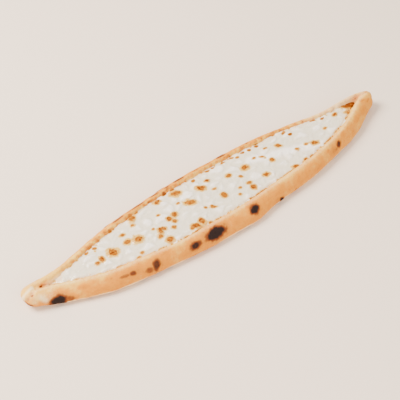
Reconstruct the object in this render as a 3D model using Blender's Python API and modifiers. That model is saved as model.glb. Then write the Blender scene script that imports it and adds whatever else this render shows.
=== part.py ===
"""Turkish pide: a long boat of baked dough with a raised rim, filled with melted white cheese.

Metres, +Z up. +X runs from the closed, knobbed tip to the open tip, +Y across the boat to its far side,
and the flat underside rests on z = 0. The origin is the middle of the footprint's box.
"""

import bisect
import math

import bmesh
import bpy

MM = 0.001
NEAR, FAR = -1, 1  # the two sides of the boat, as signs of Y

# Along the boat. Every curve below is a few (x, value) points in millimetres, and runs smoothly through them.
CLOSED_TIP = -262 * MM
OPEN_TIP = 264 * MM
CLOSED_STATIONS = (-249, -241, -232, -222, -211)  # the loft's rings at the narrow ends, close together
OPEN_STATIONS = (214, 225, 236, 244, 251)
STATION_STEP = 19 * MM  # between the rings of the long middle
TIP_TURNS = (25, 50, 72)  # degrees round each tip, one ring at each

# Across the boat: where the crest of either rim runs, and how far the foot of its wall stands out past it
CREST = {
    NEAR: ((-249, -10), (-235, -11.5), (-215, -18.5), (-195, -27), (-168, -37.2), (-150, -39.2), (-110, -45.2),
           (-60, -49.8), (0, -49), (60, -44.5), (110, -40.5), (150, -33.5), (190, -23), (218, -10), (238, 1.5),
           (251, 4)),
    FAR: ((-249, 1.5), (-235, 1.2), (-222, 1.8), (-195, 4.5), (-170, 11), (-120, 20.5), (-60, 26.5), (0, 29.5),
          (60, 29), (110, 26), (150, 20.5), (190, 12), (218, 13), (238, 13), (251, 9)),
}
SKIRT = {
    NEAR: ((-249, 10), (-225, 16), (-150, 16), (-110, 14.4), (-60, 15.2), (0, 18), (22, 21), (40, 15.4),
           (100, 14.2), (185, 12.8), (215, 17), (236, 17.5), (251, 13)),
    FAR: ((-249, 10), (-225, 11), (-100, 12), (60, 12), (190, 11), (251, 9)),
}

# Up: the height of the rims, the lift of the tips off the table, and the dough under the filling
CREST_HEIGHT = ((-249, 18), (-225, 19), (-180, 21), (-60, 22.5), (60, 21.5), (150, 22), (215, 24), (251, 22))
TIP_LIFT = ((-249, 3), (-232, 1.2), (-215, 0), (215, 0), (236, 1.5), (251, 3.5))
FLOOR_HEIGHT = 6.5 * MM
CLOSED_SEAM = ((-247, 1), (-218, 0))  # 1 where the rims meet in a seam, 0 where the valley is open
OPEN_SEAM = ((236, 0), (251, 1))
SEAM_DEPTH = 2.2 * MM

# The wall's section: it leans in from a rounded foot to a thin rounded crest, and drops steeply inside
WIDEST_HEIGHT = 6 * MM  # where the foot stands out most
LEAN_TURNS = (0, 30, 58, 76)  # degrees up the outer face, one point at each
LEAN_POWER = {NEAR: 1.55, FAR: 1.3}  # 1 is a straight slope and 2 an ellipse
CREST_RADIUS = {NEAR: 3.0 * MM, FAR: 2.3 * MM}
# Steps down the inside: distance in from the crest in radii, its limit as a share of the half valley, and
# the share of the valley's depth fallen
INSIDE_STEPS = ((1.0, 0.3, 0.12), (1.6, 0.48, 0.45), (2.2, 0.64, 0.82), (4.0, 0.84, 1.0))
# Steps round the foot from the flat underside: distance in from the widest line, its limit as a share of the
# half width, and the height as a share of the widest line's
FOOT_STEPS = ((14 * MM, 0.6, 0.0), (7.5 * MM, 0.35, 0.0), (1.8 * MM, 0.1, 0.22))

# The filling
CHEESE_START = -222 * MM
CHEESE_END = 236 * MM
CHEESE_DROP = {NEAR: 3.8 * MM, FAR: 2.8 * MM}  # from either crest down to the cheese beside it
CHEESE_CROWN = 1.0 * MM  # how much its middle stands over its edges
CROWN_SHARES = (0.82, 0.45)  # of the half width, where the crowned top has its points
CHEESE_RISE = {-1: 30 * MM, 1: 24 * MM}  # length over which it fills up, from its start and its end
CHEESE_TIP_SHARE = 0.35  # of its depth, left at its two pointed ends
CHEESE_EDGE = 1.2 * MM  # least thickness along its edge
GAP = 0.4 * MM  # kept between the cheese and the dough


def curve_at(points, x):
    """The smooth curve through (x, value) points in millimetres, at x in metres. It never overshoots, and
    it is level past its ends."""
    x = x / MM
    xs = [point[0] for point in points]
    values = [point[1] for point in points]
    if x <= xs[0]:
        return values[0] * MM
    if x >= xs[-1]:
        return values[-1] * MM
    slopes = [(values[i + 1] - values[i]) / (xs[i + 1] - xs[i]) for i in range(len(xs) - 1)]
    tangents = [slopes[0]]
    for before, after in zip(slopes, slopes[1:]):
        tangents.append(0 if before * after <= 0 else 2 * before * after / (before + after))
    tangents.append(slopes[-1])
    i = bisect.bisect_right(xs, x) - 1
    step = xs[i + 1] - xs[i]
    t = (x - xs[i]) / step
    value = ((1 + 2 * t) * (1 - t) ** 2 * values[i] + t * (1 - t) ** 2 * step * tangents[i]
             + t * t * (3 - 2 * t) * values[i + 1] + t * t * (t - 1) * step * tangents[i + 1])
    return value * MM


class Station:
    """The measures of the boat at one place along it."""

    def __init__(self, x):
        self.crest = {side: curve_at(CREST[side], x) for side in (NEAR, FAR)}
        self.skirt = {side: curve_at(SKIRT[side], x) for side in (NEAR, FAR)}
        self.middle = (self.crest[NEAR] + self.crest[FAR]) / 2
        self.half = (self.crest[FAR] - self.crest[NEAR]) / 2
        self.under = curve_at(TIP_LIFT, x)
        self.top = self.under + curve_at(CREST_HEIGHT, x)
        shut = curve_at(CLOSED_SEAM if x < 0 else OPEN_SEAM, x) / MM
        open_floor = self.under + FLOOR_HEIGHT
        self.floor = open_floor + (self.top - SEAM_DEPTH - open_floor) * shut

    def outer_wall(self, side):
        """Points (y, z) from the flat underside round the foot and up to the crest."""
        crest, skirt = self.crest[side], self.skirt[side]
        half_width = self.half + skirt
        points = [(crest + side * (skirt - min(inset, limit * half_width)), self.under + WIDEST_HEIGHT * rise)
                  for inset, limit, rise in FOOT_STEPS]
        power = 2 / LEAN_POWER[side]
        widest = self.under + WIDEST_HEIGHT
        for degrees in LEAN_TURNS:
            turn = math.radians(degrees)
            points.append((crest + side * skirt * math.cos(turn) ** power,
                           widest + (self.top - widest) * math.sin(turn) ** power))
        return points + [(crest, self.top)]

    def inner_wall(self, side):
        """Points (y, z) from just inside the crest down to the floor beside its middle."""
        radius = CREST_RADIUS[side]
        return [(self.crest[side] - side * min(radii * radius, limit * self.half),
                 self.top - (self.top - self.floor) * fall)
                for radii, limit, fall in INSIDE_STEPS]


def dough_ring(x):
    """The closed section of the dough at x, as (y, z) points, anticlockwise seen from +X."""
    s = Station(x)
    near = s.outer_wall(NEAR) + s.inner_wall(NEAR)
    far = s.outer_wall(FAR) + s.inner_wall(FAR)
    return [(s.middle, s.under)] + far + [(s.middle, s.floor)] + near[::-1]


def cheese_ring(x):
    """The closed section of the cheese at x, as (y, z) points: it lies in the valley, clear of the dough."""
    s = Station(x)
    risen = min(1.0, (x - CHEESE_START) / CHEESE_RISE[-1], (CHEESE_END - x) / CHEESE_RISE[1])
    fullness = CHEESE_TIP_SHARE + (1 - CHEESE_TIP_SHARE) * math.sin(math.pi / 2 * max(0.0, risen))
    halves = {}
    for side in (NEAR, FAR):
        bed = [(y - side * GAP, z + GAP) for y, z in s.inner_wall(side)[1:]]
        edge, lowest = bed[0]
        level = s.floor + (s.top - CHEESE_DROP[side] - s.floor) * fullness
        level = max(level, lowest + CHEESE_EDGE)
        crowned = [(s.middle + (edge - s.middle) * share, level + CHEESE_CROWN * (1 - share * share))
                   for share in CROWN_SHARES]
        halves[side] = bed[::-1] + [(edge, level)] + crowned
    top = (halves[NEAR][-1][1] + halves[FAR][-1][1]) / 2
    return [(s.middle, s.floor + GAP)] + halves[FAR] + [(s.middle, top)] + halves[NEAR][::-1]


def rounded_tip(x_ring, ring, x_tip):
    """Rings that shrink round a tip, from the last full ring at x_ring towards x_tip."""
    middle_y = sum(y for y, _ in ring) / len(ring)
    middle_z = sum(z for _, z in ring) / len(ring)
    rings = []
    for degrees in TIP_TURNS:
        turn = math.radians(degrees)
        keep = math.cos(turn)
        shrunk = [(middle_y + (y - middle_y) * keep, middle_z + (z - middle_z) * keep) for y, z in ring]
        rings.append((x_ring + (x_tip - x_ring) * math.sin(turn), shrunk))
    return rings


def loft(name, rings, material, collection):
    """A closed mesh object through rings [(x, [(y, z), ...]), ...], smoothed by one level of subdivision."""
    mesh = bpy.data.meshes.new(name)
    obj = bpy.data.objects.new(name, mesh)
    collection.objects.link(obj)
    bm = bmesh.new()
    loops = [[bm.verts.new((x, y, z)) for y, z in ring] for x, ring in rings]
    for first, second in zip(loops, loops[1:]):
        for i in range(len(first)):
            j = (i + 1) % len(first)
            bm.faces.new((first[i], first[j], second[j], second[i]))
    bm.faces.new(loops[0])
    bm.faces.new(loops[-1])
    bmesh.ops.recalc_face_normals(bm, faces=bm.faces)
    bm.to_mesh(mesh)
    bm.free()
    mesh.materials.append(material)
    mesh.shade_smooth()
    smooth = obj.modifiers.new("Soft form", "SUBSURF")
    smooth.levels = 1
    smooth.render_levels = 1
    return obj


def food_material(name, colour, roughness):
    material = bpy.data.materials.new(name)
    material.use_nodes = True
    shader = material.node_tree.nodes["Principled BSDF"]
    shader.inputs["Base Color"].default_value = (*colour, 1)
    shader.inputs["Roughness"].default_value = roughness
    shader.inputs["Metallic"].default_value = 0
    return material


def stations():
    """X of every full ring: close together at both ends, evenly spaced between."""
    closed = [x * MM for x in CLOSED_STATIONS]
    opened = [x * MM for x in OPEN_STATIONS]
    length = opened[0] - closed[-1]
    count = round(length / STATION_STEP)
    return closed + [closed[-1] + length * i / count for i in range(1, count)] + opened


def make_dough(collection):
    rings = [(x, dough_ring(x)) for x in stations()]
    closed_end = rounded_tip(*rings[0], CLOSED_TIP)
    open_end = rounded_tip(*rings[-1], OPEN_TIP)
    material = food_material("Baked dough", (0.76, 0.47, 0.21), 0.7)
    return loft("dough", closed_end[::-1] + rings + open_end, material, collection)


def make_cheese(collection):
    inside = [x for x in stations() if CHEESE_START < x < CHEESE_END]
    rings = [(x, cheese_ring(x)) for x in [CHEESE_START] + inside + [CHEESE_END]]
    return loft("cheese", rings, food_material("Melted cheese", (0.83, 0.79, 0.68), 0.45), collection)


def centre_on_origin(objects):
    """Moves the objects so that the origin is the middle of the whole footprint's box."""
    bpy.context.view_layer.update()
    graph = bpy.context.evaluated_depsgraph_get()
    points = [vertex.co for obj in objects for vertex in obj.evaluated_get(graph).to_mesh().vertices]
    for axis in (0, 1):
        values = [point[axis] for point in points]
        for obj in objects:
            obj.location[axis] = -(min(values) + max(values)) / 2


def main():
    for obj in list(bpy.data.objects):
        bpy.data.objects.remove(obj)
    collection = bpy.data.collections.new("Turkish pide")
    bpy.context.scene.collection.children.link(collection)
    centre_on_origin([make_dough(collection), make_cheese(collection)])


main()
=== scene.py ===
"""Turkish pide: the baked dough boat and the melted cheese in it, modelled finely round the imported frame.

Metres, +Z up. +X runs from the closed, knobbed tip to the open tip, +Y across the boat to its far side.
"""

import math

import bmesh
import bpy
import numpy as np
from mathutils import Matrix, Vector, noise
from mathutils.bvhtree import BVHTree


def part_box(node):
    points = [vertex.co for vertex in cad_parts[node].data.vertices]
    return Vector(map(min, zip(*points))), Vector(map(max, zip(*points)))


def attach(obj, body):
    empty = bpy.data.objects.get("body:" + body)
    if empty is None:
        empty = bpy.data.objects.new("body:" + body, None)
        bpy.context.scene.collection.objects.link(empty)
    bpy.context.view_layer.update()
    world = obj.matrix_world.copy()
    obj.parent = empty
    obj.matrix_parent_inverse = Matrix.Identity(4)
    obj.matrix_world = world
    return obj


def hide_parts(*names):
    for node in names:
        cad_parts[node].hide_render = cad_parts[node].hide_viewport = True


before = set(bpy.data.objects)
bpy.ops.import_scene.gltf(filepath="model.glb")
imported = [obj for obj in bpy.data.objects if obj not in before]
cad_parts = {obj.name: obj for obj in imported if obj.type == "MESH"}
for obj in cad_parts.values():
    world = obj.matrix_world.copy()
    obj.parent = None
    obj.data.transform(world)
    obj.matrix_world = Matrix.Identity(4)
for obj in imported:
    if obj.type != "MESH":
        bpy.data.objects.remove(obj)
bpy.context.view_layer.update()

bl_info = {
    "name": "Turkish Pide",
    "version": (1, 0, 0),
    "blender": (4, 5, 0),
    "location": "View3D > Sidebar > Pide",
    "description": "Makes a cheese pide's crust, its melted filling and a small studio round them",
    "category": "Object",
}

MM = 0.001
NEAR, FAR = -1, 1  # the two sides of the boat, as signs of Y

# Scorched spots on the near wall: along the boat, down the wall from its crest, half length, half height
# (all mm), turn in degrees towards the foot, and how dark it is burnt, from 0 to 1
NEAR_SCORCHES = (
    (-231, 17.5, 13, 9.6, -24, 1.0), (-219, 17.0, 8, 5.6, 0, 0.60), (-172, 6.4, 2.8, 2.0, 0, 0.42),
    (-158, 9.2, 10, 3.0, 4, 0.56), (-148, 9.8, 5.6, 4.0, 10, 0.74), (-120, 12.0, 9.6, 6.8, 122, 0.80),
    (-129, 14.0, 8.0, 5.0, 0, 0.62), (-69, 11.2, 11.0, 6.4, -4, 0.87), (-40, 9.8, 18.6, 9.4, -2, 1.0),
    (18, 9.4, 9.4, 8.4, 0, 0.94), (60, 19.2, 5.4, 3.4, 25, 0.90), (84, 19.1, 2.0, 1.5, 0, 0.6),
    (169, 9.6, 6.0, 5.4, 40, 0.82), (163, 12.5, 5.0, 3.4, 0, 0.5), (149, 6.2, 3.0, 2.2, 0, 0.42),
    (201, 14.1, 3.2, 2.4, 0, 0.4),
)
# Orange patches of the same kind, not yet burnt
NEAR_BROWNINGS = (
    (-201, 7.8, 6, 3.4, 0, 0.75), (-106, 3.5, 9, 3.4, 0, 0.6), (-82, 15, 11, 4, 0, 0.5),
    (-9, 10.6, 9, 5, 0, 0.62),
    (10, 18, 12, 4, 0, 0.5), (55, 18, 9, 4.6, 0, 0.85), (92, 13, 9, 4, 0, 0.4), (125, 15, 9, 4.4, 0, 0.6),
    (160, 12, 10, 6, 0, 0.85), (215, 9, 8, 4, 0, 0.5), (234, 12, 7, 5, 0, 0.5), (-252, 17, 10, 5, 0, 0.5),
    (-148, 9, 20, 6, 5, 0.8), (-122, 13, 16, 9, 0, 0.85), (-185, 14, 14, 5, 0, 0.5), (182, 6, 6, 4, 0, 0.45),
    (-30, 17, 12, 4, 0, 0.45),
)
# The same on the far wall, which is toasted a little more evenly
FAR_SCORCHES = (
    (-192, 12, 8, 4.0, 0, 0.72), (-133, 9, 5.0, 3.4, 0, 0.9), (-104, 16, 9, 4.2, 5, 0.66),
    (-52, 10, 7.0, 5.0, 0, 1.0),
    (-6, 14, 5.0, 3.6, 0, 0.84), (38, 8, 9, 4.6, -5, 0.95), (92, 15, 6.0, 4.0, 0, 0.7),
    (121, 9, 4.0, 3.0, 0, 0.88),
    (178, 12, 7.0, 3.6, 0, 0.6), (-236, 16, 7, 5.0, 0, 0.7),
)
# Folds, seams and dimples left by pinching the tips: from (x, y, z) to (x, y, z), half width and rise
# (all mm), then flour (on the knob's fold partly a painted highlight) and heat, from 0 to 1
PINCHES = (
    # The knob's fold: raised and painted in full flour colour, partly flour and partly a painted highlight
    # along its ridge
    ((-262, 6.5, 16), (-249, 10.5, 19), 3.3, 1.8, 1.0, 0.0),
    ((-259, 1.5, 16), (-250, 5.5, 21), 1.8, -1.2, 0.0, 0.46),
    ((-239, 9.6, 15.4), (-237, 9.8, 15), 1.7, -1.8, 0.0, 0.74),
    ((-254, 1.5, 19.6), (-253, 2, 19.8), 2.0, -1.2, 0.0, 0.66),
    ((-235, 10.4, 15), (-227, 9.3, 11.5), 1.4, -1.0, 0.0, 0.52),
    ((-227, 9.3, 11.5), (-220, 7.5, 14), 1.2, -0.9, 0.0, 0.48),
    ((-262, 6, 12), (-258, -3, 9), 3.2, 0.0, 0.0, 0.74),
    ((-246, -4, 16), (-243, -7, 13), 5.0, 0.3, 0.75, 0.0),
    ((252, 16, 22), (262, 12, 14), 2.0, -0.8, 0.3, 0.0),
    ((222, 17, 19), (240, 22.5, 19), 2.6, -1.0, 0.0, 0.56),
    ((238, 12, 23), (243, 11, 23), 2.6, -0.4, 0.0, 0.44),
    ((247, 8, 20), (251, 10, 21), 2.6, -0.4, 0.0, 0.44),
)
# Small toasted specks where the cheese meets the far rim: along and across (mm), and darkness
RIM_SPECKS = (
    (-174, 17, 0.45), (-164, 17, 0.5), (-135, 28, 0.5), (-104, 33, 0.45), (-52, 37, 0.6), (-41, 37, 0.4),
    (-13, 33, 0.5), (11, 36, 0.6), (19, 36, 0.5), (34, 36, 0.55), (48, 36, 0.45), (54, 32, 0.45),
    (64, 35, 0.6),
    (73, 33, 0.55), (84, 33, 0.65), (113, 39, 0.5), (125, 30, 0.55), (130, 23, 0.65), (180, 20, 0.6),
)
# A smooth fold of thicker cheese, painted whiter partly as a highlight along its ridge: its ends (mm), half
# width and rise (mm)
CHEESE_FOLD = ((62, 18), (152, -11), 6.0, 0.9)
# Toasted blisters on the cheese: along, across, half length, half width (all mm), turn in degrees, darkness
BLISTERS = (
    (-150, 0, 5.4, 4.6, -20, 0.85), (-165, -1, 2.4, 3.4, 0, 1.0), (-172, -3, 2.6, 2.2, 0, 0.6),
    (-128, 14, 2.8, 2.2, 0, 0.6), (-129, 2, 3.6, 2.9, 0, 0.7), (-117, -2, 5.0, 4.4, 0, 0.8),
    (-105, 28, 3.6, 5.6, -40, 0.55), (-110, 18, 2.6, 2.2, 0, 0.5), (-62, 3, 3.6, 3.0, 0, 0.75),
    (-71, 1, 3.0, 3.0, 0, 0.8), (-68, -5, 3.0, 2.6, 0, 0.55), (-74, -12, 2.8, 2.4, 0, 0.6),
    (-86, -6, 4.2, 2.6, -30, 0.95), (-90, -9, 2.6, 2.8, 0, 0.9), (-94, -14, 2.8, 2.8, 0, 0.6),
    (-88, -24, 4.0, 3.6, 0, 0.85), (-67, 31, 3.8, 3.0, 0, 0.8), (-42, 29, 5.6, 4.0, -20, 0.7),
    (-37, 7, 6.0, 3.4, -35, 0.75), (-13, 17, 5.2, 3.6, -30, 0.8), (0, 23, 2.9, 2.6, 0, 0.9),
    (3, -7, 3.4, 3.8, 0, 0.65), (26, 14, 3.2, 2.8, 0, 0.85), (-19, -14, 3.8, 1.9, -35, 0.6),
    (-27, -10, 2.0, 1.6, 0, 0.5), (-43, -24, 3.6, 4.0, 0, 0.85), (-52, -25, 4.6, 3.0, -30, 0.85),
    (-57, -25, 2.6, 2.4, 0, 0.6), (-35, -31, 2.4, 2.2, 0, 0.45), (50, 13, 4.6, 3.6, -15, 0.75),
    (64, -11, 4.0, 2.8, -20, 0.85), (39, -17, 3.0, 3.4, 0, 1.0), (39, -9, 3.2, 2.2, 0, 0.5),
    (85, 3, 3.0, 3.0, 0, 0.7), (106, 17, 4.2, 2.3, -35, 0.9), (145, -6, 4.6, 3.2, -20, 0.8),
    (135, -2, 2.8, 2.2, 0, 0.5), (119, -20, 2.6, 2.2, 0, 0.7), (102, -22, 4.6, 2.4, -30, 1.0),
    (197, 15, 3.0, 2.4, 0, 0.8), (-124, -20, 2.2, 1.8, 0, 0.3), (-130, -23, 2.4, 1.7, 0, 0.35),
    (-78, 13, 2.2, 1.8, 0, 0.4), (-49, 14, 2.0, 1.6, 0, 0.35), (-95, 0, 2.0, 1.6, 0, 0.3),
    (-1, 7, 2.4, 1.8, 0, 0.3), (25, -9, 2.2, 1.7, 0, 0.4), (19, -17, 2.4, 1.8, 0, 0.35),
    (37, 4, 2.8, 1.7, -30, 0.4), (78, 14, 2.6, 1.7, -30, 0.45), (68, 18, 2.2, 1.6, 0, 0.35),
    (90, 23, 2.4, 1.7, 0, 0.45), (120, -2, 2.6, 1.8, -30, 0.35), (172, 5, 2.6, 2.0, 0, 0.35),
)


# ---------------------------------------------------------------- numbers and noise


def smooth_step(low, high, value):
    t = np.clip((value - low) / (high - low), 0.0, 1.0)
    return t * t * (3 - 2 * t)


def noise_at(points, size, seed):
    """Smooth noise, about -1 to 1, with features of the given size, at each of the points."""
    shift = np.array((seed * 17.31, seed * 5.17, seed * 11.93))
    return np.array([noise.noise(Vector(p)) for p in points / size + shift])


def layered_noise(points, size, seed, layers=3):
    """Noise with finer, weaker copies of itself added to it."""
    total = np.zeros(len(points))
    for layer in range(layers):
        total += noise_at(points, size / 2.1 ** layer, seed + layer) / 2 ** layer
    return total


def cell_distance(points, size, seed):
    """Distance to the middle of the nearest of many scattered cells, in cell sizes."""
    shift = np.array((seed * 9.71, seed * 3.37, seed * 7.13))
    return np.array([noise.voronoi(Vector(p))[0][0] for p in points / size + shift])


def cell_edge(points, size, seed):
    """0 on the border between two cells, growing to about 1 inside them."""
    shift = np.array((seed * 9.71, seed * 3.37, seed * 7.13))
    nearest = [noise.voronoi(Vector(p))[0] for p in points / size + shift]
    return np.array([distances[1] - distances[0] for distances in nearest])


# ---------------------------------------------------------------- the frame's own lines


def section_lines(node, xs):
    """The lowest and highest Y of a CAD node at each x."""
    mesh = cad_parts[node].data
    co = np.empty(len(mesh.vertices) * 3)
    mesh.vertices.foreach_get("co", co)
    co = co.reshape(-1, 3)
    ends = np.empty(len(mesh.edges) * 2, dtype=int)
    mesh.edges.foreach_get("vertices", ends)
    start, end = co[ends[0::2]], co[ends[1::2]]
    low, high = [], []
    for x in xs:
        x = min(max(x, co[:, 0].min() + 1e-5), co[:, 0].max() - 1e-5)
        crosses = (start[:, 0] - x) * (end[:, 0] - x) <= 0
        a, b = start[crosses], end[crosses]
        t = (x - a[:, 0]) / np.where(np.abs(b[:, 0] - a[:, 0]) < 1e-9, 1e-9, b[:, 0] - a[:, 0])
        y = a[:, 1] + (b[:, 1] - a[:, 1]) * np.clip(t, 0, 1)
        low.append(y.min())
        high.append(y.max())
    return np.array(low), np.array(high)


def softened(values, rounds):
    """The values along their first axis, each blended with its neighbours."""
    for _ in range(rounds):
        middle = (values[:-2] + 2 * values[1:-1] + values[2:]) / 4
        values = np.concatenate([values[:1], middle, values[-1:]])
    return values


class Boat:
    """Lines along the boat, read from the CAD nodes: the crests of its rims and the middle of its valley."""

    STEP = 3 * MM
    PROBE_STEP = 0.5 * MM

    def __init__(self):
        self.low, self.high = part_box("dough")
        self.xs = np.arange(self.low.x + self.STEP, self.high.x - self.STEP, self.STEP)
        tree = BVHTree.FromObject(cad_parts["dough"], bpy.context.evaluated_depsgraph_get())
        cheese_low, cheese_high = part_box("cheese")
        near_edge, far_edge = section_lines("cheese", self.xs)
        middles = (near_edge + far_edge) / 2
        inside = (self.xs > cheese_low.x) & (self.xs < cheese_high.x)
        first, last = np.flatnonzero(inside)[[0, -1]]
        near, far, top = [], [], []
        for i, x in enumerate(self.xs):
            middle = middles[min(max(i, first), last)]
            probes = np.arange(self.low.y, self.high.y, self.PROBE_STEP)
            heights = np.array([self.height(tree, x, y) for y in probes])
            left, right = probes < middle, probes >= middle
            near.append(probes[left][heights[left].argmax()])
            far.append(probes[right][heights[right].argmax()])
            top.append(heights.max())
        self.near = softened(np.array(near), 6)
        self.far = softened(np.array(far), 6)
        self.top = softened(np.array(top), 6)

    @staticmethod
    def height(tree, x, y):
        hit = tree.ray_cast(Vector((x, y, 1)), Vector((0, 0, -1)))[0]
        return hit.z if hit else -1.0

    def crest(self, side, x):
        return np.interp(x, self.xs, self.near if side == NEAR else self.far)

    def crest_height(self, x):
        return np.interp(x, self.xs, self.top)


# ---------------------------------------------------------------- meshes


def fine_copy(node, name, voxel, rounds):
    """A new mesh object of a CAD node's form, rounded off and in even fine faces."""
    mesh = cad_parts[node].data.copy()
    mesh.name = name
    mesh.materials.clear()
    bm = bmesh.new()
    bm.from_mesh(mesh)
    bmesh.ops.remove_doubles(bm, verts=bm.verts, dist=0.01 * MM)
    bmesh.ops.join_triangles(bm, faces=bm.faces, angle_face_threshold=0.7, angle_shape_threshold=0.7)
    bm.to_mesh(mesh)
    bm.free()
    obj = bpy.data.objects.new(name, mesh)
    bpy.context.scene.collection.objects.link(obj)
    rounding = obj.modifiers.new("Rounding", "SUBSURF")
    rounding.levels = rounding.render_levels = 1
    even = obj.modifiers.new("Even faces", "REMESH")
    even.mode = "VOXEL"
    even.voxel_size = voxel
    soft = obj.modifiers.new("Soft", "SMOOTH")
    soft.factor = 0.5
    soft.iterations = rounds
    graph = bpy.context.evaluated_depsgraph_get()
    made = bpy.data.meshes.new_from_object(obj.evaluated_get(graph))
    obj.modifiers.clear()
    obj.data = made
    bpy.data.meshes.remove(mesh)
    made.name = name
    made.shade_smooth()
    return obj


def points_and_normals(mesh):
    count = len(mesh.vertices)
    co, normals = np.empty(count * 3), np.empty(count * 3)
    mesh.vertices.foreach_get("co", co)
    mesh.vertex_normals.foreach_get("vector", normals)
    return co.reshape(-1, 3), normals.reshape(-1, 3)


def write_points(mesh, points):
    mesh.vertices.foreach_set("co", points.ravel())
    mesh.update()


def write_mask(mesh, name, values):
    """A number for each point of the mesh, which the materials read by its name."""
    attribute = mesh.attributes.new(name, "FLOAT", "POINT")
    attribute.data.foreach_set("value", np.clip(values, 0, 1).astype(np.float32))


def spot_distance(along, across, spot):
    """How far each point is from an oval spot's middle: 1 on its outline."""
    x, y, half_length, half_width, turn, _ = spot
    turn = math.radians(turn)
    dx, dy = along - x * MM, across - y * MM
    u = dx * math.cos(turn) + dy * math.sin(turn)
    v = dy * math.cos(turn) - dx * math.sin(turn)
    return np.hypot(u / (half_length * MM), v / (half_width * MM))


def distance_to_stroke(points, start, end):
    """Distance of each point from the straight stroke between two places given in mm."""
    start, end = np.array(start) * MM, np.array(end) * MM
    way = end - start
    t = np.clip((points - start) @ way / (way @ way), 0, 1)
    return np.linalg.norm(points - start - t[:, None] * way, axis=1)


def rim_specks(along, across, wobble):
    """Heat of the small toasted specks along the far rim."""
    heat = np.zeros(len(along))
    for x, y, darkness in RIM_SPECKS:
        d = np.hypot((along - x * MM) / (3.3 * MM), (across - y * MM) / (2.4 * MM)) + wobble
        heat = np.maximum(heat, darkness * (1 - smooth_step(0.6, 1.2, d)))
    return heat


# ---------------------------------------------------------------- shader nodes


class Nodes:
    """Short ways to add and join nodes in one node tree."""

    def __init__(self, tree):
        self.tree = tree

    def add(self, kind, **settings):
        node = self.tree.nodes.new(kind)
        for key, value in settings.items():
            setattr(node, key, value)
        return node

    def join(self, source, target):
        self.tree.links.new(source, target)

    def feed(self, socket, value):
        """Joins a socket to the value if that is a socket too, and otherwise sets it."""
        if isinstance(value, bpy.types.NodeSocket):
            self.join(value, socket)
        else:
            socket.default_value = value

    def mask(self, name):
        return self.add("ShaderNodeAttribute", attribute_name=name).outputs["Fac"]

    def place(self):
        return self.add("ShaderNodeTexCoord").outputs["Object"]

    def noise(self, per_metre, detail=3.0, roughness=0.5, distortion=0.0):
        node = self.add("ShaderNodeTexNoise")
        self.join(self.place(), node.inputs["Vector"])
        node.inputs["Scale"].default_value = per_metre
        node.inputs["Detail"].default_value = detail
        node.inputs["Roughness"].default_value = roughness
        node.inputs["Distortion"].default_value = distortion
        return node.outputs["Fac"]

    def cells(self, per_metre, feature="F1"):
        node = self.add("ShaderNodeTexVoronoi", feature=feature)
        self.join(self.place(), node.inputs["Vector"])
        node.inputs["Scale"].default_value = per_metre
        return node.outputs["Distance"]

    def math(self, operation, a, b=0.0):
        node = self.add("ShaderNodeMath", operation=operation)
        self.feed(node.inputs[0], a)
        self.feed(node.inputs[1], b)
        return node.outputs[0]

    def ramp(self, value, low, high):
        """0 up to low, 1 from high, smooth between."""
        node = self.add("ShaderNodeMapRange", interpolation_type="SMOOTHSTEP", clamp=True)
        self.feed(node.inputs["Value"], value)
        self.feed(node.inputs["From Min"], low)
        self.feed(node.inputs["From Max"], high)
        return node.outputs["Result"]

    def span(self, value, low, high):
        """The value, from 0 to 1, spread from low to high."""
        node = self.add("ShaderNodeMapRange", clamp=True)
        self.join(value, node.inputs["Value"])
        node.inputs["To Min"].default_value = low
        node.inputs["To Max"].default_value = high
        return node.outputs["Result"]

    def mix(self, share, a, b):
        node = self.add("ShaderNodeMix", data_type="RGBA")
        self.feed(node.inputs["Factor"], share)
        colour_inputs = [s for s in node.inputs if s.type == "RGBA"]
        self.feed(colour_inputs[0], a)
        self.feed(colour_inputs[1], b)
        return [s for s in node.outputs if s.type == "RGBA"][0]

    def bump(self, height, strength, distance, below=None):
        node = self.add("ShaderNodeBump")
        self.feed(node.inputs["Height"], height)
        node.inputs["Strength"].default_value = strength
        node.inputs["Distance"].default_value = distance
        if below is not None:
            self.join(below, node.inputs["Normal"])
        return node.outputs["Normal"]


def new_group(name, inputs, outputs):
    """A shader node group with named inputs and outputs, and its two end nodes."""
    tree = bpy.data.node_groups.new(name, "ShaderNodeTree")
    for label, kind, default in inputs:
        socket = tree.interface.new_socket(label, in_out="INPUT", socket_type=kind)
        socket.default_value = default
    for label, kind in outputs:
        tree.interface.new_socket(label, in_out="OUTPUT", socket_type=kind)
    return tree, tree.nodes.new("NodeGroupInput"), tree.nodes.new("NodeGroupOutput")


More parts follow.
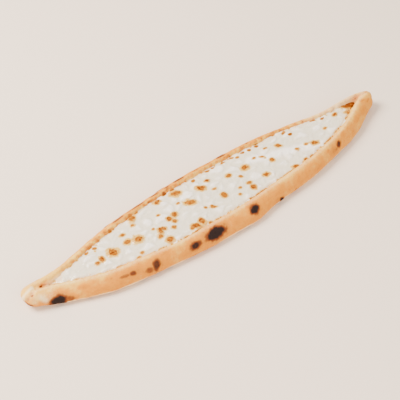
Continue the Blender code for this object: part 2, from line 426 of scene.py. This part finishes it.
def toasting_group():
    """Browns a colour: a mask from 0 to 1 runs from raw to scorched, with ragged edges."""
    if "Toasting" in bpy.data.node_groups:
        return bpy.data.node_groups["Toasting"]
    tree, given, made = new_group(
        "Toasting",
        (("Raw", "NodeSocketColor", (1, 1, 1, 1)), ("Golden", "NodeSocketColor", (1, 1, 1, 1)),
         ("Brown", "NodeSocketColor", (1, 1, 1, 1)), ("Scorched", "NodeSocketColor", (0, 0, 0, 1)),
         ("Heat", "NodeSocketFloat", 0.0), ("Raggedness", "NodeSocketFloat", 0.2),
         ("Per metre", "NodeSocketFloat", 500.0)),
        (("Color", "NodeSocketColor"),))
    n = Nodes(tree)
    grain = n.add("ShaderNodeTexNoise")
    n.join(n.place(), grain.inputs["Vector"])
    n.join(given.outputs["Per metre"], grain.inputs["Scale"])
    grain.inputs["Detail"].default_value = 4.0
    spread = n.math("MULTIPLY", n.math("SUBTRACT", grain.outputs["Fac"], 0.5), given.outputs["Raggedness"])
    present = n.ramp(given.outputs["Heat"], 0.0, 0.12)
    heat = n.math("ADD", given.outputs["Heat"], n.math("MULTIPLY", spread, present))
    golden = n.mix(n.ramp(heat, 0.04, 0.34), given.outputs["Raw"], given.outputs["Golden"])
    brown = n.mix(n.ramp(heat, 0.30, 0.66), golden, given.outputs["Brown"])
    scorched = n.mix(n.ramp(heat, 0.60, 0.92), brown, given.outputs["Scorched"])
    n.join(scorched, made.inputs["Color"])
    return tree


def toasted(nodes, raw, golden, brown, scorched, heat, raggedness, per_metre):
    """Places the toasting group and gives its colour."""
    group = nodes.add("ShaderNodeGroup", node_tree=toasting_group())
    for label, value in (("Raw", raw), ("Golden", golden), ("Brown", brown), ("Scorched", scorched),
                         ("Heat", heat), ("Raggedness", raggedness), ("Per metre", per_metre)):
        nodes.feed(group.inputs[label], value)
    return group.outputs["Color"]


def new_material(name):
    material = bpy.data.materials.new(name)
    material.use_nodes = True
    tree = material.node_tree
    return material, Nodes(tree), tree.nodes["Principled BSDF"]


def colour(value):
    return (*value, 1.0)


# ---------------------------------------------------------------- settings


def colour_property(name, description, default):
    return bpy.props.FloatVectorProperty(name=name, description=description, default=default, size=3,
                                         subtype="COLOR", min=0.0, max=1.0)


def length_property(name, description, default):
    return bpy.props.FloatProperty(name=name, description=description, default=default, min=0.0,
                                   unit="LENGTH", precision=4)


class PideDoughSettings(bpy.types.PropertyGroup):
    """Sizes and colours of the crust"""

    face_size: length_property("Face size", "Width of the crust's faces", 1.15 * MM)
    wave: length_property("Waves", "Height of the long uneven waves left by hand shaping", 0.9 * MM)
    lump: length_property("Lumps", "Height of the lumps between them", 0.35 * MM)
    grain: length_property("Grain", "Height of the fine unevenness of the skin", 0.10 * MM)
    bubble: length_property("Bubbles", "Height of the baked bubbles along the rims", 1.0 * MM)
    pale: colour_property("Pale crust", "Where the oven has hardly coloured it", (0.85, 0.52, 0.095))
    golden: colour_property("Golden crust", "Most of the crust", (0.69, 0.246, 0.013))
    orange: colour_property("Orange crust", "Its more toasted freckles", (0.54, 0.135, 0.010))
    brown: colour_property("Brown crust", "Round the scorched spots", (0.21, 0.052, 0.010))
    scorched: colour_property("Scorched", "Where it is burnt", (0.016, 0.008, 0.007))
    # Also used for the painted highlight along the near crest and on the knob's fold
    flour_and_highlight: colour_property("Flour and painted highlight", "Dusted along the foot and on the pale skin", (0.90, 0.70, 0.40))


class PideCheeseSettings(bpy.types.PropertyGroup):
    """Sizes and colours of the melted filling"""

    face_size: length_property("Face size", "Width of the cheese's faces", 0.66 * MM)
    reach: length_property("Reach", "How far it reaches past the CAD filling, into the wall", 1.9 * MM)
    wave: length_property("Waves", "Height of its long uneven waves", 0.8 * MM)
    lump: length_property("Lumps", "Height of the melted lumps", 1.5 * MM)
    grain: length_property("Grain", "Height of its fine strands and pits", 0.10 * MM)
    blister: length_property("Blisters", "Height of the toasted blisters", 0.9 * MM)
    white: colour_property("White", "Most of the cheese", (0.94, 0.86, 0.78))
    # Cream is also the painted shade in the creases between the melted lumps
    cream_and_crease_shade: colour_property("Cream", "Where it has run thin", (0.72, 0.64, 0.50))
    # Grey-beige bare dough at the closed end of the valley, greyed as painted shade of the deep, narrow
    # valley
    shaded_bare_dough: colour_property("Dough in shade", "The bare end of the valley", (0.70, 0.56, 0.40))
    fringe: colour_property("Fringe", "The palest toasting, round the blisters", (0.74, 0.47, 0.08))
    golden: colour_property("Golden", "The toasted blisters", (0.375, 0.128, 0.003))
    brown: colour_property("Brown", "Their darker rims", (0.17, 0.034, 0.002))
    scorched: colour_property("Scorched", "The darkest flecks", (0.05, 0.013, 0.003))


class PideStageSettings(bpy.types.PropertyGroup):
    """The floor, lights and camera"""

    floor: colour_property("Floor", "Colour of the floor", (0.84, 0.70, 0.58))
    key_power: bpy.props.FloatProperty(name="Key light", description="Power of the large main light",
                                       default=104.0, min=0.0, unit="POWER")
    fill_power: bpy.props.FloatProperty(name="Fill light", description="Power of the light by the camera",
                                        default=24.0, min=0.0, unit="POWER")
    sky: bpy.props.FloatProperty(name="Sky", description="Strength of the light from all round",
                                 default=1.1, min=0.0)
    azimuth: bpy.props.FloatProperty(name="Azimuth", description="Turn of the camera round the pide",
                                     default=math.radians(-37.4), subtype="ANGLE")
    elevation: bpy.props.FloatProperty(name="Elevation", description="Angle of the camera over the floor",
                                       default=math.radians(47.5), subtype="ANGLE")
    distance: bpy.props.FloatProperty(name="Distance", description="From the camera to what it looks at",
                                      default=1.25, min=0.1, unit="LENGTH")
    lens: bpy.props.FloatProperty(name="Lens", description="Focal length on a 36 mm wide sensor",
                                  default=94.5, min=10.0, unit="CAMERA")
    aim: bpy.props.FloatVectorProperty(name="Aim", description="The point on the floor that it looks at",
                                       default=(-14.3 * MM, 17.3 * MM, 0.0), size=3, subtype="XYZ")


# ---------------------------------------------------------------- the dough


class DoughForm:
    """The crust's fine relief and its masks, from the points of an even fine mesh."""

    def __init__(self, mesh, boat, settings):
        self.s = settings
        self.p, self.n = points_and_normals(mesh)
        x, y, z = self.p.T
        near, far = boat.crest(NEAR, x), boat.crest(FAR, x)
        self.side = np.where(y < (near + far) / 2, NEAR, FAR)
        # How far outside its own crest each point is, and how far down the leaning outer wall
        self.outward = (y - np.where(self.side == NEAR, near, far)) * self.side
        self.down = (boat.crest_height(x) - z + self.outward) / math.sqrt(2)
        self.under = smooth_step(-0.55, -0.85, self.n[:, 2])
        self.near_wall = (self.side == NEAR) & (self.outward > -2 * MM)
        self.far_wall = (self.side == FAR) & (self.outward > -1 * MM)
        self.wobble = 0.20 * layered_noise(self.p, 5 * MM, 35, 2)

    def rise(self):
        """How far each point moves out along its normal."""
        s = self.s
        # Hand shaping leaves waves longer than they are wide
        stretched = self.p * np.array((0.55, 1.0, 1.0))
        rise = s.wave * noise_at(stretched, 26 * MM, 1) + s.lump * layered_noise(self.p, 9 * MM, 4, 2)
        rise += s.grain * layered_noise(self.p, 2.8 * MM, 8, 2)
        rise += self.bubbles()
        rise += self.scorch_blisters(NEAR_SCORCHES, self.near_wall)
        rise += self.scorch_blisters(FAR_SCORCHES, self.far_wall)
        for start, end, half_width, height, _, _ in PINCHES:
            d = distance_to_stroke(self.p, start, end) / (half_width * MM)
            rise += height * MM * np.exp(-d * d)
        return rise * (1 - self.under)

    def bubbles(self):
        """Small domes of trapped air: many on the rims' inner faces, few on the outer walls."""
        inner = 1 - smooth_step(-1.0 * MM, 3.5 * MM, self.outward)
        rise = np.zeros(len(self.p))
        for size, seed, height in ((10 * MM, 21, 1.0), (5.5 * MM, 22, 0.7)):
            distance = cell_distance(self.p, size, seed)
            dome = np.clip(1 - (distance / 0.46) ** 2, 0, 1) ** 1.2
            where = noise_at(self.p, 2.2 * size, seed + 5) * 0.5 + 0.15 + 0.45 * inner
            wanted = smooth_step(0.40, 0.62, where)
            rise += self.s.bubble * height * dome * wanted
        return rise

    def scorch_blisters(self, spots, wall):
        """The burnt spots are thin skins that have puffed up, with sharp sides and a sunken top."""
        rise = np.zeros(len(self.p))
        for spot in spots:
            d = spot_distance(self.p[:, 0], self.down, spot)
            puff = np.clip(1.25 - d, 0, 1) ** 0.8 - 0.35 * np.clip(1 - d * 1.6, 0, 1)
            rise += np.where(wall, 0.6 * MM * spot[5] * puff, 0)
        return rise

    def heat(self):
        """How browned each point is, from pale to burnt."""
        x = self.p[:, 0]
        on_wall = smooth_step(-1.0 * MM, 6 * MM, self.outward)
        ends = smooth_step(-0.175, -0.235, x)
        heat = 0.17 + 0.12 * on_wall - 0.12 * ends + 0.075 * layered_noise(self.p, 28 * MM, 31, 3)
        heat += 0.090 * layered_noise(self.p, 7 * MM, 33, 2) - 0.045 * smooth_step(0.13, 0.22, x)
        inner = (self.side == FAR) * (1 - smooth_step(-1 * MM, 2 * MM, self.outward)) * (1 - ends)
        heat += inner * (0.05 + 0.38 * layered_noise(self.p, 4.6 * MM, 34, 2))
        for spot in NEAR_BROWNINGS:
            d = spot_distance(x, self.down, spot) + self.wobble
            patch = 0.24 + 0.24 * spot[5] * np.exp(-d * d * 0.9)
            heat = np.where(self.near_wall & (d < 1.8), np.maximum(heat, patch * np.clip(2 - d, 0, 1)), heat)
        heat = self.scorched(heat, NEAR_SCORCHES, self.near_wall)
        heat = self.scorched(heat, FAR_SCORCHES, self.far_wall)
        for start, end, half_width, _, _, warmth in PINCHES:
            d = distance_to_stroke(self.p, start, end) / (half_width * MM) + self.wobble
            heat = np.maximum(heat, warmth * np.exp(-np.clip(d, 0, None) ** 2))
        heat = np.maximum(heat, rim_specks(x, self.p[:, 1], self.wobble) * (self.outward < 0))
        heat = np.maximum(heat, self.crest_line())
        stone = 0.20 + 0.55 * smooth_step(0.05, 0.5, layered_noise(self.p, 13 * MM, 37, 3))
        return np.clip(np.where(self.under > 0.5, stone, heat), 0, 1)

    def scorched(self, heat, spots, wall):
        for spot in spots:
            d = spot_distance(self.p[:, 0], self.down, spot) + 0.8 * self.wobble
            burnt = np.minimum(1.18 * spot[5] * (1 - smooth_step(0.05, 1.46, d)), spot[5])
            halo = (0.26 + 0.16 * spot[5]) * np.exp(-(np.clip(d - 0.80, 0, None) / 0.70) ** 2)
            heat = np.where(wall, np.maximum(heat, np.maximum(burnt, halo)), heat)
        return heat

    def crest_line(self):
        """A thin caramelised line, broken here and there, runs along the far rim's crest."""
        x = self.p[:, 0]
        along = smooth_step(-0.18, -0.11, x) * (1 - smooth_step(0.115, 0.17, x))
        streaks = layered_noise(self.p * np.array((1.0, 0.3, 0.3)), 13 * MM, 51, 2)
        line = np.exp(-((self.outward - 1.4 * MM) / (2.2 * MM)) ** 2) * (self.side == FAR)
        return line * along * (0.34 + 0.44 * smooth_step(-0.25, 0.45, streaks))

    def flour_and_highlight(self):
        """Where flour or pale skin shows: along the foot, at the closed tip and on the far rim's end. It
        also paints highlight: the pale band along the near crest is partly pale skin and partly painted
        highlight, and the white fold on the knob is partly flour and partly painted highlight.
        """
        x, _, z = self.p.T
        patches = layered_noise(self.p, 22 * MM, 41, 2)
        foot = (1 - smooth_step(4.2 * MM, 7.2 * MM, z)) * (0.75 + 0.8 * patches)
        dust = 0.16 * smooth_step(0.12, 0.6, layered_noise(self.p, 34 * MM, 44, 3))
        closed_tip = smooth_step(-0.20, -0.245, x) * (0.32 + 0.35 * layered_noise(self.p, 10 * MM, 46, 2))
        far_end = (self.side == FAR) * smooth_step(0.12, 0.20, x) * (0.62 + 0.4 * patches)
        far_end = far_end * (1 - 0.7 * smooth_step(4 * MM, 14 * MM, self.outward))
        far_end = far_end * (1 - smooth_step(0.250, 0.262, x))
        # Pale band along the near crest: partly pale, lightly baked skin and partly a painted highlight
        # where light catches the crest
        crest = 0.42 * np.exp(-((self.outward + 0.5 * MM) / (3.2 * MM)) ** 2) * (self.side == NEAR)
        valley_end = smooth_step(-0.19, -0.215, x) * (1 - 0.6 * smooth_step(-0.226, -0.236, x))
        valley_end *= 0.75 * (1 - smooth_step(-4.5 * MM, -1.5 * MM, self.outward))
        inner = 0.16 * (self.side == FAR) * (1 - smooth_step(-4 * MM, -1 * MM, self.outward))
        flour_and_highlight = np.maximum.reduce([foot, dust, closed_tip, far_end, crest, valley_end, inner])
        for start, end, half_width, _, powder_and_highlight, _ in PINCHES:
            d = distance_to_stroke(self.p, start, end) / (half_width * MM)
            flour_and_highlight = np.maximum(flour_and_highlight, powder_and_highlight * np.exp(-d * d * 1.2))
        return np.clip(flour_and_highlight, 0, 1)


def dough_material(s):
    material, n, shader = new_material("Baked dough")
    heat = n.mask("toasting")
    patches = n.ramp(n.noise(60, 4, 0.6), 0.36, 0.68)
    raw = n.mix(n.math("MULTIPLY", patches, 0.5), colour(s.pale), colour(s.golden))
    browned = toasted(n, raw, colour(s.golden), colour(s.brown), colour(s.scorched), heat, 0.15, 420)
    clean = n.math("SUBTRACT", 1.0, n.ramp(heat, 0.40, 0.62))
    freckles = n.math("MULTIPLY", n.math("MULTIPLY", n.ramp(n.noise(420, 4, 0.65), 0.54, 0.72), 0.34), clean)
    freckled = n.mix(freckles, browned, colour(s.orange))
    grain = n.math("MULTIPLY", n.math("SUBTRACT", n.noise(520, 4, 0.7), 0.5), 0.7)
    # The flour colour here also carries painted highlight on the near crest and on the knob's fold
    powder_and_highlight = n.math("MULTIPLY", n.ramp(n.math("ADD", n.mask("flour_and_highlight"), grain), 0.12, 0.95), 0.85)
    floured = n.mix(n.math("MULTIPLY", powder_and_highlight, clean), freckled, colour(s.flour_and_highlight))
    n.join(floured, shader.inputs["Base Color"])
    rough = n.span(n.noise(240, 3), 0.55, 0.78)
    n.join(rough, shader.inputs["Roughness"])
    skin = n.bump(n.noise(420, 5, 0.65), 0.25, 0.6 * MM)
    pores = n.bump(n.ramp(n.cells(650), 0.08, 0.32), 0.18, 0.3 * MM, skin)
    n.join(pores, shader.inputs["Normal"])
    shader.inputs["Specular IOR Level"].default_value = 0.12
    shader.inputs["Subsurface Weight"].default_value = 0.06
    shader.inputs["Subsurface Radius"].default_value = (0.0020, 0.0009, 0.0004)
    shader.inputs["Subsurface Scale"].default_value = 1.0
    return material


class PIDE_OT_dough(bpy.types.Operator):
    """Make the baked dough boat round the CAD node of the same form"""

    bl_idname = "pide.dough"
    bl_label = "Dough"
    bl_options = {"REGISTER", "UNDO"}

    def execute(self, context):
        s = context.scene.pide_dough
        obj = fine_copy("dough", "crust", s.face_size, 4)
        form = DoughForm(obj.data, Boat(), s)
        write_points(obj.data, form.p + form.n * form.rise()[:, None])
        write_mask(obj.data, "toasting", form.heat())
        write_mask(obj.data, "flour_and_highlight", form.flour_and_highlight())
        obj.data.materials.append(dough_material(s))
        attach(obj, "root")
        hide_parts("dough")
        return {"FINISHED"}


# ---------------------------------------------------------------- the cheese


class CheeseForm:
    """The melted filling as one sheet of points over the CAD filling, closed by sides and an underside."""

    SIDE_DEPTH = 5 * MM  # how far its hidden sides go down into the wall
    SLOPE = 1.2 * MM  # how far they lean back in
    SPREAD = 1.28  # the toasted skin runs on past the blister's own dome
    BLISTER_REACH = 16  # mm, beyond which a blister has no effect

    def __init__(self, settings):
        self.s = settings
        low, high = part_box("cheese")
        reach = settings.reach
        rows = round((high.x - low.x + 2 * reach) / settings.face_size)
        columns = round((high.y - low.y + 2 * reach) / settings.face_size * 0.95)
        self.x = np.linspace(low.x - reach, high.x + reach, rows)
        near, far = section_lines("cheese", self.x)
        self.near = softened(near, 40) - reach
        self.far = softened(far, 40) + reach
        share = np.linspace(0, 1, columns)
        self.y = self.near[:, None] + (self.far - self.near)[:, None] * share[None]
        self.level = self.cad_level(low, high)
        self.p = np.stack([np.repeat(self.x[:, None], columns, 1), self.y, self.level], -1)
        self.edge = np.minimum(self.y - self.near[:, None], self.far[:, None] - self.y)

    def cad_level(self, low, high):
        """Height of the CAD filling's top under each point, smoothed."""
        tree = BVHTree.FromObject(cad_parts["cheese"], bpy.context.evaluated_depsgraph_get())
        inset = self.s.reach + 0.4 * MM
        levels = np.zeros(self.y.shape)
        for i, x in enumerate(self.x):
            x = min(max(x, low.x + 0.3 * MM), high.x - 0.3 * MM)
            for j, y in enumerate(self.y[i]):
                y = min(max(y, self.near[i] + inset), self.far[i] - inset)
                hit = tree.ray_cast(Vector((x, y, 1)), Vector((0, 0, -1)))[0]
                levels[i, j] = hit.z if hit else np.nan
        middle = levels[len(self.x) // 2, len(self.y[0]) // 2]
        for row in levels:  # a ray at the very edge may slip past: it takes its neighbour's height
            known = ~np.isnan(row)
            if known.any():
                row[~known] = np.interp(np.flatnonzero(~known), np.flatnonzero(known), row[known])
            else:
                row[:] = middle
        return softened(softened(levels, 60).T, 12).T

    def relief(self):
        """How far the cheese's top rises or sinks, and a whiteness mask from 0 to 1: white where the cheese
        is thick, on the lump tops and along the fold, partly as painted highlight, and cream in the creases
        between the lumps, partly as painted shade.
        """
        s = self.s
        flat = self.p.reshape(-1, 3)
        inside = smooth_step(0.0, 5 * MM, self.edge).ravel()
        bend = np.stack([noise_at(flat, 10 * MM, 62), noise_at(flat, 10 * MM, 63), np.zeros(len(flat))], -1)
        drawn = flat * np.array((0.72, 1.0, 1.0)) + 2.6 * MM * bend
        mounds = smooth_step(0.02, 0.62, cell_edge(drawn, 11 * MM, 64))
        small = smooth_step(0.02, 0.70, cell_edge(drawn, 5.6 * MM, 66))
        # White on the lump tops and cream in the creases between them: partly thickness, partly painted
        # highlight and painted shade
        thick_and_lit = mounds * (0.55 + 0.45 * small)
        rise = s.wave * noise_at(flat, 24 * MM, 61) + s.lump * (0.75 * mounds + 0.32 * small - 0.5)
        rise += s.grain * layered_noise(flat, 2.4 * MM, 67, 2)
        start, end, half_width, height = CHEESE_FOLD
        fold = distance_to_stroke(flat[:, :2] + 2 * MM * bend[:, :2], start, end) / (half_width * MM)
        rise += height * MM * np.exp(-fold * fold)
        thick_and_lit = np.maximum(thick_and_lit, np.exp(-fold * fold))
        rise *= 0.45 + 0.55 * inside
        rise -= 0.8 * MM * np.exp(-((self.edge.ravel() - s.reach) / (1.5 * MM)) ** 2)
        rise -= 1.2 * MM * self.bare().ravel()
        return rise.reshape(self.y.shape), thick_and_lit

    def bare(self):
        """1 at the closed end, where the valley's dough shows instead of cheese."""
        flat = self.p.reshape(-1, 3)
        ragged = self.p[..., 0] + 7 * MM * layered_noise(flat, 9 * MM, 69, 2).reshape(self.y.shape)
        return 1 - smooth_step(-0.219, -0.207, ragged)

    def blisters(self):
        """Rise and heat of the toasted blisters: puffed skins, some fallen in the middle."""
        flat = self.p.reshape(-1, 3)
        wobble = 0.30 * layered_noise(flat, 4.2 * MM, 71, 3)
        mottle = layered_noise(flat, 2.6 * MM, 75, 2)
        reach = self.BLISTER_REACH * MM
        rise, heat = np.zeros(len(flat)), np.zeros(len(flat))
        for i, spot in enumerate(BLISTERS):
            close = (np.abs(flat[:, 0] - spot[0] * MM) < reach) & (np.abs(flat[:, 1] - spot[1] * MM) < reach)
            d = spot_distance(flat[close, 0], flat[close, 1], spot) / self.SPREAD + wobble[close]
            fallen = 0.45 if i % 3 == 0 else 0.15
            dome = np.clip(1.15 - d, 0, 1) ** 0.7 - fallen * np.clip(1 - 1.5 * d, 0, 1)
            rise[close] += self.s.blister * (0.35 + 0.65 * spot[5]) * dome
            core = 1 - smooth_step(0.48, 1.06, d)
            ring = np.exp(-((d - 0.60) / 0.24) ** 2)
            halo = 0.20 * (1 - smooth_step(0.85, 1.70, d))
            warm = core * (0.25 + 0.25 * spot[5] + (0.07 * ring + 0.34 * mottle[close]) * spot[5])
            heat[close] = np.maximum(heat[close], np.maximum(warm, halo * (0.5 + 0.5 * spot[5])))
        heat = np.maximum(heat, 0.8 * rim_specks(flat[:, 0], flat[:, 1], wobble))
        heat = np.maximum(heat, self.faint_specks(flat, wobble))
        return rise.reshape(self.y.shape), heat.reshape(self.y.shape)

    def faint_specks(self, flat, wobble):
        """Many small pale golden freckles strewn between the blisters."""
        strewn = cell_distance(flat, 12 * MM, 77) * 12 / 2.3 + 2 * wobble
        chosen = smooth_step(0.05, 0.45, noise_at(flat, 21 * MM, 78))
        return 0.20 * chosen * (1 - smooth_step(0.5, 1.2, strewn))

    def edge_heat(self):
        """The cheese browns where it touches the rims, and most at the open tip. Along the near rim the
        browning also paints a dark shadow line where the cheese meets the wall, and deep in the open tip it
        also paints the valley's shade.
        """
        flat = self.p.reshape(-1, 3)
        spots = layered_noise(flat, 7 * MM, 81, 3).reshape(self.y.shape)
        from_rim = self.edge - self.s.reach
        rim = np.exp(-np.clip(from_rim, 0, None) / (1.3 * MM)) * smooth_step(0.0, 0.6, spots) * 0.36
        from_near = self.y - self.near[:, None] - self.s.reach
        # Near seam: brown dashes of real browning, which also paint the shadow line where the cheese meets
        # the near wall
        seam_and_shadow_line = np.exp(-np.clip(from_near, 0, None) / (1.0 * MM)) * smooth_step(-0.35, 0.35, spots) * 0.44
        x, y = self.p[..., 0], self.p[..., 1]
        far_side = smooth_step(-4 * MM, 8 * MM, y - (x - 0.20) * 0.2)
        tip = smooth_step(0.200, 0.228, x) * (0.24 + 0.26 * far_side + 0.60 * spots)
        # Dark caramelised cheese deep in the open tip, made darker as painted shade of the narrowing valley
        deep_caramel_and_shade = smooth_step(0.219, 0.234, x) * (0.72 + 0.20 * spots)
        return np.maximum.reduce([rim, seam_and_shadow_line, tip, deep_caramel_and_shade])

    def build(self):
        rise, heat = self.blisters()
        relief, thick_and_lit = self.relief()
        top = self.p.copy()
        top[..., 2] += relief + rise
        heat = np.maximum(heat, self.edge_heat())
        rows, columns = self.y.shape
        number = np.arange(rows * columns).reshape(rows, columns)
        corners = [number[:-1, :-1], number[1:, :-1], number[1:, 1:], number[:-1, 1:]]
        faces = np.stack(corners, -1).reshape(-1, 4)
        border = np.concatenate([number[:, 0], number[-1, 1:], number[-2::-1, -1], number[0, -2:0:-1]])
        points = top.reshape(-1, 3)
        foot = points[border].copy()
        foot[:, 2] -= self.SIDE_DEPTH
        middle_y = (self.near + self.far) / 2
        lean = np.sign(np.interp(foot[:, 0], self.x, middle_y) - foot[:, 1])
        foot[:, 1] += lean * self.SLOPE
        points = np.concatenate([points, foot])
        below = rows * columns + np.arange(len(border))
        after, after_below = np.roll(border, -1), np.roll(below, -1)
        sides = np.stack([border, below, after_below, after], -1)
        bottom_near = below[:rows]
        bottom_far = below[rows + columns - 2:2 * rows + columns - 2][::-1]
        mesh = bpy.data.meshes.new("melted_cheese")
        bottoms = [(int(bottom_near[i]), int(bottom_far[i]), int(bottom_far[i + 1]), int(bottom_near[i + 1]))
                   for i in range(1, rows - 2)]
        start = [int(v) for v in below[-(columns - 2):]]
        start += [int(bottom_near[0]), int(bottom_near[1]), int(bottom_far[1]), int(bottom_far[0])]
        end = [int(bottom_near[rows - 2])]
        end += [int(v) for v in below[rows - 1:rows + columns - 1]]
        end += [int(bottom_far[rows - 2])]
        mesh.from_pydata(points.tolist(), [], faces.tolist() + sides.tolist() + bottoms + [start, end])
        mesh.validate()
        mesh.update()
        bm = bmesh.new()
        bm.from_mesh(mesh)
        bmesh.ops.recalc_face_normals(bm, faces=bm.faces)
        bm.to_mesh(mesh)
        bm.free()
        mesh.shade_smooth()
        foot_heat = np.zeros(len(border))
        write_mask(mesh, "toasting", np.concatenate([heat.ravel(), foot_heat]))
        write_mask(mesh, "thickness_and_light", np.concatenate([thick_and_lit, foot_heat]))
        write_mask(mesh, "bare", np.concatenate([self.bare().ravel(), foot_heat]))
        return mesh


def cheese_material(s):
    material, n, shader = new_material("Melted cheese")
    heat = n.mask("toasting")
    cloud = n.math("MULTIPLY", n.math("SUBTRACT", n.noise(140, 4, 0.6), 0.5), 0.9)
    # Whiteness mask: painted highlight on the lump tops and the fold, and painted shade in the creases
    # between lumps, as well as thick and thin cheese
    cloudy = n.math("ADD", n.mask("thickness_and_light"), cloud)
    milky_with_shade = n.mix(n.ramp(cloudy, 0.05, 0.85), colour(s.cream_and_crease_shade), colour(s.white))
    # Bare dough at the closed end, in a grey-beige that paints the valley's shade into it
    base = n.mix(n.ramp(n.mask("bare"), 0.2, 0.8), milky_with_shade, colour(s.shaded_bare_dough))
    fringed = n.mix(n.math("MULTIPLY", n.ramp(heat, 0.02, 0.16), 0.92), base, colour(s.fringe))
    browned = toasted(n, fringed, colour(s.golden), colour(s.brown), colour(s.scorched), heat, 0.22, 520)
    n.join(browned, shader.inputs["Base Color"])
    plain = n.math("SUBTRACT", 1.0, n.ramp(heat, 0.10, 0.35))
    n.join(n.span(n.noise(320, 3), 0.38, 0.62), shader.inputs["Roughness"])
    n.join(n.math("MULTIPLY", plain, n.span(n.noise(110, 3), 0.3, 1.0)), shader.inputs["Coat Weight"])
    shader.inputs["Coat Roughness"].default_value = 0.13
    strands = n.bump(n.noise(480, 5, 0.6, 0.6), 0.18, 0.5 * MM)
    n.join(strands, shader.inputs["Normal"])
    shader.inputs["Specular IOR Level"].default_value = 0.05
    shader.inputs["Subsurface Weight"].default_value = 0.06
    shader.inputs["Subsurface Radius"].default_value = (0.0014, 0.0010, 0.0007)
    shader.inputs["Subsurface Scale"].default_value = 1.0
    return material


class PIDE_OT_cheese(bpy.types.Operator):
    """Make the melted cheese, which reaches just into the dough's wall"""

    bl_idname = "pide.cheese"
    bl_label = "Cheese"
    bl_options = {"REGISTER", "UNDO"}

    def execute(self, context):
        s = context.scene.pide_cheese
        mesh = CheeseForm(s).build()
        obj = bpy.data.objects.new("melted_cheese", mesh)
        context.scene.collection.objects.link(obj)
        mesh.materials.append(cheese_material(s))
        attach(obj, "root")
        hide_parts("cheese")
        return {"FINISHED"}


# ---------------------------------------------------------------- the stage


def aimed(obj, place, target):
    obj.location = place
    obj.rotation_euler = (Vector(target) - Vector(place)).to_track_quat("-Z", "Y").to_euler()


def area_light(name, place, target, size, power, tint):
    light = bpy.data.lights.new(name, "AREA")
    light.shape = "DISK"
    light.size = size
    light.energy = power
    light.color = tint
    obj = bpy.data.objects.new(name, light)
    bpy.context.scene.collection.objects.link(obj)
    aimed(obj, place, target)
    return obj


class PIDE_OT_stage(bpy.types.Operator):
    """Make the floor, the soft lights and the camera"""

    bl_idname = "pide.stage"
    bl_label = "Stage"
    bl_options = {"REGISTER", "UNDO"}

    def execute(self, context):
        s = context.scene.pide_stage
        self.add_floor(s)
        self.add_camera(context, s)
        area_light("Key light", (-0.9, 0.75, 1.5), (0, 0, 0), 1.1, s.key_power, (1.0, 0.93, 0.85))
        area_light("Fill light", (-0.1, -1.5, 1.1), (0, 0, 0), 1.4, s.fill_power, (1.0, 0.94, 0.87))
        world = context.scene.world or bpy.data.worlds.new("Soft sky")
        context.scene.world = world
        world.use_nodes = True
        background = world.node_tree.nodes["Background"]
        background.inputs["Color"].default_value = (1.0, 0.93, 0.85, 1.0)
        background.inputs["Strength"].default_value = s.sky
        return {"FINISHED"}

    def add_floor(self, s):
        bpy.ops.mesh.primitive_plane_add(size=8)
        floor = bpy.context.object
        floor.name = "floor"
        material, n, shader = new_material("Plain floor")
        n.join(n.mix(n.math("MULTIPLY", n.noise(3.0, 2), 0.25), colour(s.floor),
                     colour([0.94 * channel for channel in s.floor])), shader.inputs["Base Color"])
        shader.inputs["Roughness"].default_value = 0.9
        floor.data.materials.append(material)

    def add_camera(self, context, s):
        camera = bpy.data.cameras.new("Camera")
        camera.lens = s.lens
        camera.sensor_width = 36
        camera.clip_start = 0.05
        obj = bpy.data.objects.new("Camera", camera)
        context.scene.collection.objects.link(obj)
        level = math.cos(s.elevation)
        back = Vector((math.sin(s.azimuth) * level, -math.cos(s.azimuth) * level, math.sin(s.elevation)))
        aimed(obj, Vector(s.aim) + back * s.distance, s.aim)
        context.scene.camera = obj


class PIDE_PT_panel(bpy.types.Panel):
    """The pide's pieces and their settings"""

    bl_idname = "PIDE_PT_panel"
    bl_label = "Turkish Pide"
    bl_space_type = "VIEW_3D"
    bl_region_type = "UI"
    bl_category = "Pide"

    def draw(self, context):
        scene = context.scene
        for operator, settings in (("pide.stage", scene.pide_stage), ("pide.dough", scene.pide_dough),
                                   ("pide.cheese", scene.pide_cheese)):
            box = self.layout.box()
            box.operator(operator)
            for name in settings.__annotations__:
                box.prop(settings, name)


CLASSES = (PideDoughSettings, PideCheeseSettings, PideStageSettings, PIDE_OT_stage, PIDE_OT_dough,
           PIDE_OT_cheese, PIDE_PT_panel)


def register():
    for cls in CLASSES:
        bpy.utils.register_class(cls)
    bpy.types.Scene.pide_dough = bpy.props.PointerProperty(type=PideDoughSettings)
    bpy.types.Scene.pide_cheese = bpy.props.PointerProperty(type=PideCheeseSettings)
    bpy.types.Scene.pide_stage = bpy.props.PointerProperty(type=PideStageSettings)


def unregister():
    del bpy.types.Scene.pide_dough
    del bpy.types.Scene.pide_cheese
    del bpy.types.Scene.pide_stage
    for cls in reversed(CLASSES):
        bpy.utils.unregister_class(cls)


def main():
    register()
    bpy.ops.pide.stage()
    bpy.ops.pide.dough()
    bpy.ops.pide.cheese()


if __name__ == "__main__":
    main()
